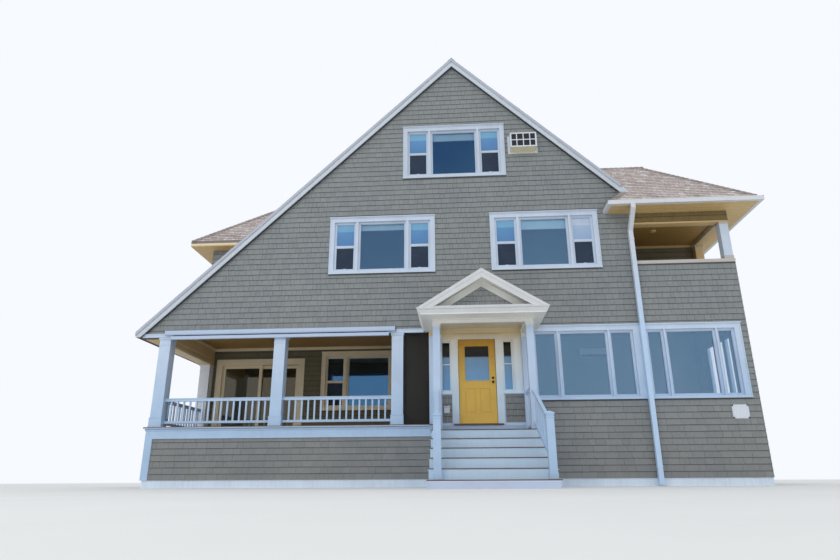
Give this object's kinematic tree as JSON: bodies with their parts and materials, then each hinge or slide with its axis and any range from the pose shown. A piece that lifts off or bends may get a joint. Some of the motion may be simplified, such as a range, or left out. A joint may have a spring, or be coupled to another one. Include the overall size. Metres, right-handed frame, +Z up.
{
  "type": "shingled beach house",
  "caption": "Grey shingled beach house with a wide gable, corner porch, corner balcony under a hipped wing, dormer and entry portico.",
  "frame": {"origin": "middle of the footprint on the ground, under the house's outline seen from above", "axes": "+X to the right along the front, +Y from the front to the rear, +Z up"},
  "size_m": [16.09, 14.12, 11.9],
  "materials": {
    "painted_base": "painted masonry",
    "grey_shingles": "weathered and stained",
    "white_trim": "painted, satin",
    "deck_boards": "painted, satin",
    "natural_wood": "varnished",
    "inner_plaster": "matte",
    "roof_shingles": "granular",
    "white_metal": "satin",
    "dark_screen": "woven mesh",
    "window_glass": "polished",
    "yellow_paint": "painted, gloss",
    "black_hardware": "satin"
  },
  "bodies": {
    "house": {"foundation": "painted_base", "front_skirt": "grey_shingles", "porch_rim": "white_trim", "porch_deck": "deck_boards", "floors": "natural_wood", "front_gable_wall": "grey_shingles", "sunroom_wall": "grey_shingles", "entry_wall": "white_trim", "porch_back_wall": "grey_shingles", "inner_walls": "inner_plaster", "left_wall": "grey_shingles", "right_wall": "grey_shingles", "rear_wall": "grey_shingles", "ceilings": "natural_wood", "porch_posts": "white_trim", "porch_rails": "white_trim", "beams": "white_trim", "awning": "white_metal", "screen_panel": "dark_screen", "balcony_frame": "white_trim", "cheek_walls": "grey_shingles", "hip_roofs": "roof_shingles", "ridge_cap": "roof_shingles", "rain_gutter": "white_metal", "main_roof_left": "roof_shingles", "main_roof_right": "roof_shingles", "rake_boards": "white_trim", "soffits": "natural_wood", "front_windows": "white_trim", "side_windows": "white_trim", "rear_windows": "white_trim", "window_glass": "window_glass", "door_frame": "white_trim", "patio_frame": "white_trim", "stair_treads": "deck_boards", "stair_carriage": "white_trim", "stair_rails": "white_trim", "portico_frame": "white_trim", "portico_roof": "white_trim", "pediment_panel": "grey_shingles", "air_conditioner": "white_metal", "wall_plates": "white_metal"},
    "entry_door": {"entry_door": "yellow_paint", "door_glass": "window_glass", "door_hardware": "black_hardware"},
    "patio_slider": {"patio_slider": "white_trim", "slider_glass": "window_glass"}
  },
  "joints": [
    {"name": "entry_door_hinge", "type": "hinge", "parent": "house", "child": "entry_door", "pos_m": [0.281, -3.936, 2.469], "axis": [0, 0, 1], "range_deg": [0, 90]},
    {"name": "patio_door_slide", "type": "slide", "parent": "house", "child": "patio_slider", "axis": [-1, 0, 0], "range_m": [0, 1.05]}
  ]
}
